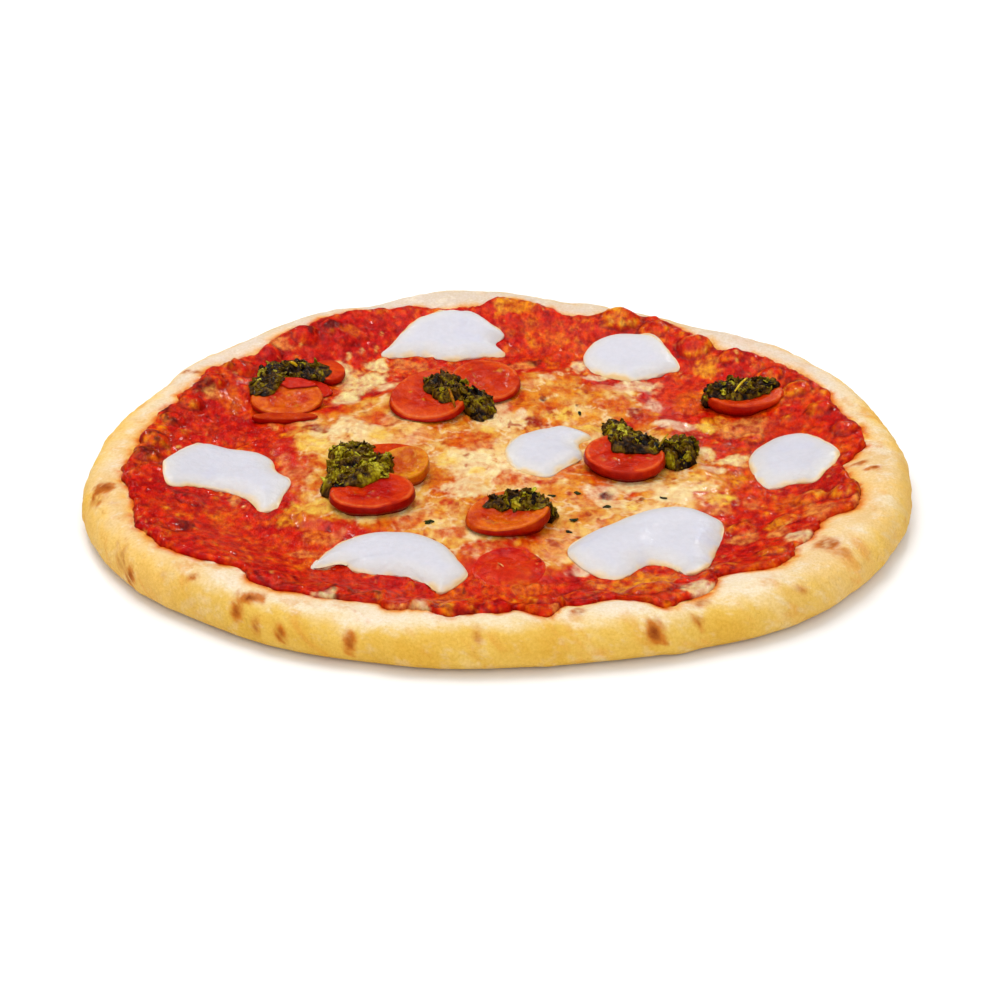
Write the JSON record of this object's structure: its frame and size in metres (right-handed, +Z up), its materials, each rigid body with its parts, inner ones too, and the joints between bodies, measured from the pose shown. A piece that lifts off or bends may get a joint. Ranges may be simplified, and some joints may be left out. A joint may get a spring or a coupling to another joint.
{
  "type": "margherita pizza",
  "caption": "Round baked pizza with a puffed rim, tomato sauce, melted cheese, mozzarella slices, cherry tomatoes and chopped basil.",
  "frame": {"origin": "middle of the part's box, on the flat underside of the dough", "axes": "+Z up through the toppings, +X to the right and +Y to the back of the pizza as it is shown"},
  "size_m": [0.3238, 0.3154, 0.0263],
  "materials": {
    "crust": "baked dough, pale and floury on top, golden outside with brown scorch spots",
    "sauce": "moist cooked tomato, lumpy, with small glints",
    "cheese": "melted cheese, cream to golden, marbled with sauce and browned in spots",
    "mozzarella": "soft white cheese with cream edges, slightly moist",
    "tomato": "wet cooked cherry tomato, orange-red flesh and dark red skin",
    "basil": "oily chopped leaves, olive to nearly black green"
  },
  "bodies": {
    "root": {"crust": "crust", "tomato_sauce": "sauce", "melted_cheese": "cheese", "mozzarella_back": "mozzarella", "mozzarella_back_right": "mozzarella", "mozzarella_left": "mozzarella", "mozzarella_middle": "mozzarella", "mozzarella_right": "mozzarella", "mozzarella_front_left": "mozzarella", "mozzarella_front_right": "mozzarella", "tomato_left_front": "tomato", "tomato_left_under": "tomato", "tomato_left_back": "tomato", "tomato_left_right": "tomato", "tomato_back_left": "tomato", "tomato_back_right": "tomato", "tomato_middle_front": "tomato", "tomato_middle_right": "tomato", "tomato_middle_back": "tomato", "tomato_front": "tomato", "tomato_front_flat": "tomato", "tomato_right_middle": "tomato", "tomato_right_back": "tomato", "basil_left": "basil", "basil_back": "basil", "basil_middle": "basil", "basil_front": "basil", "basil_right": "basil", "basil_right_end": "basil", "basil_right_back": "basil"}
  },
  "joints": []
}
